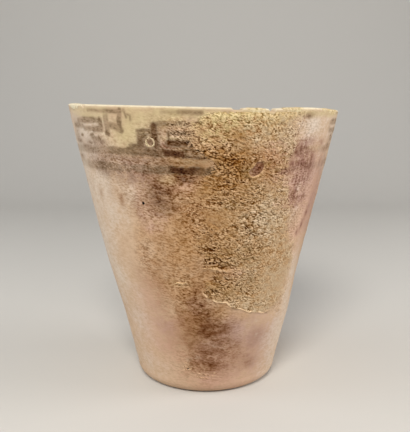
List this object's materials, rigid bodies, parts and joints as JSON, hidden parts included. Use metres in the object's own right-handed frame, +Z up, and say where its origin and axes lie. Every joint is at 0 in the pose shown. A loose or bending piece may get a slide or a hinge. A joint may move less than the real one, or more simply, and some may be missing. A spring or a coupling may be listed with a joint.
{
  "type": "pottery beaker",
  "caption": "Tall flaring beaker of fired clay with a flat round foot, a thin chipped lip and scabs of lime crust on its wall.",
  "frame": {"origin": "middle of the flat underside, where the beaker stands", "axes": "+Z up to the mouth, -Y towards the viewer of the painted front, +X to the viewer's right"},
  "size_m": [0.1053, 0.1062, 0.1112],
  "materials": {
    "clay": "matt fired clay with worn paint",
    "lime_crust": "rough pitted lime crust"
  },
  "bodies": {
    "root": {"base_disc": "clay", "wall": "clay", "crust_sheet": "lime_crust", "crust_flake": "lime_crust", "crust_foot_scale_left": "lime_crust", "crust_foot_scale_right": "lime_crust", "crust_ring": "lime_crust", "crust_lip_left": "lime_crust", "crust_lip_middle": "lime_crust", "crust_lip_right": "lime_crust", "crust_lip_far_right": "lime_crust"}
  },
  "joints": []
}
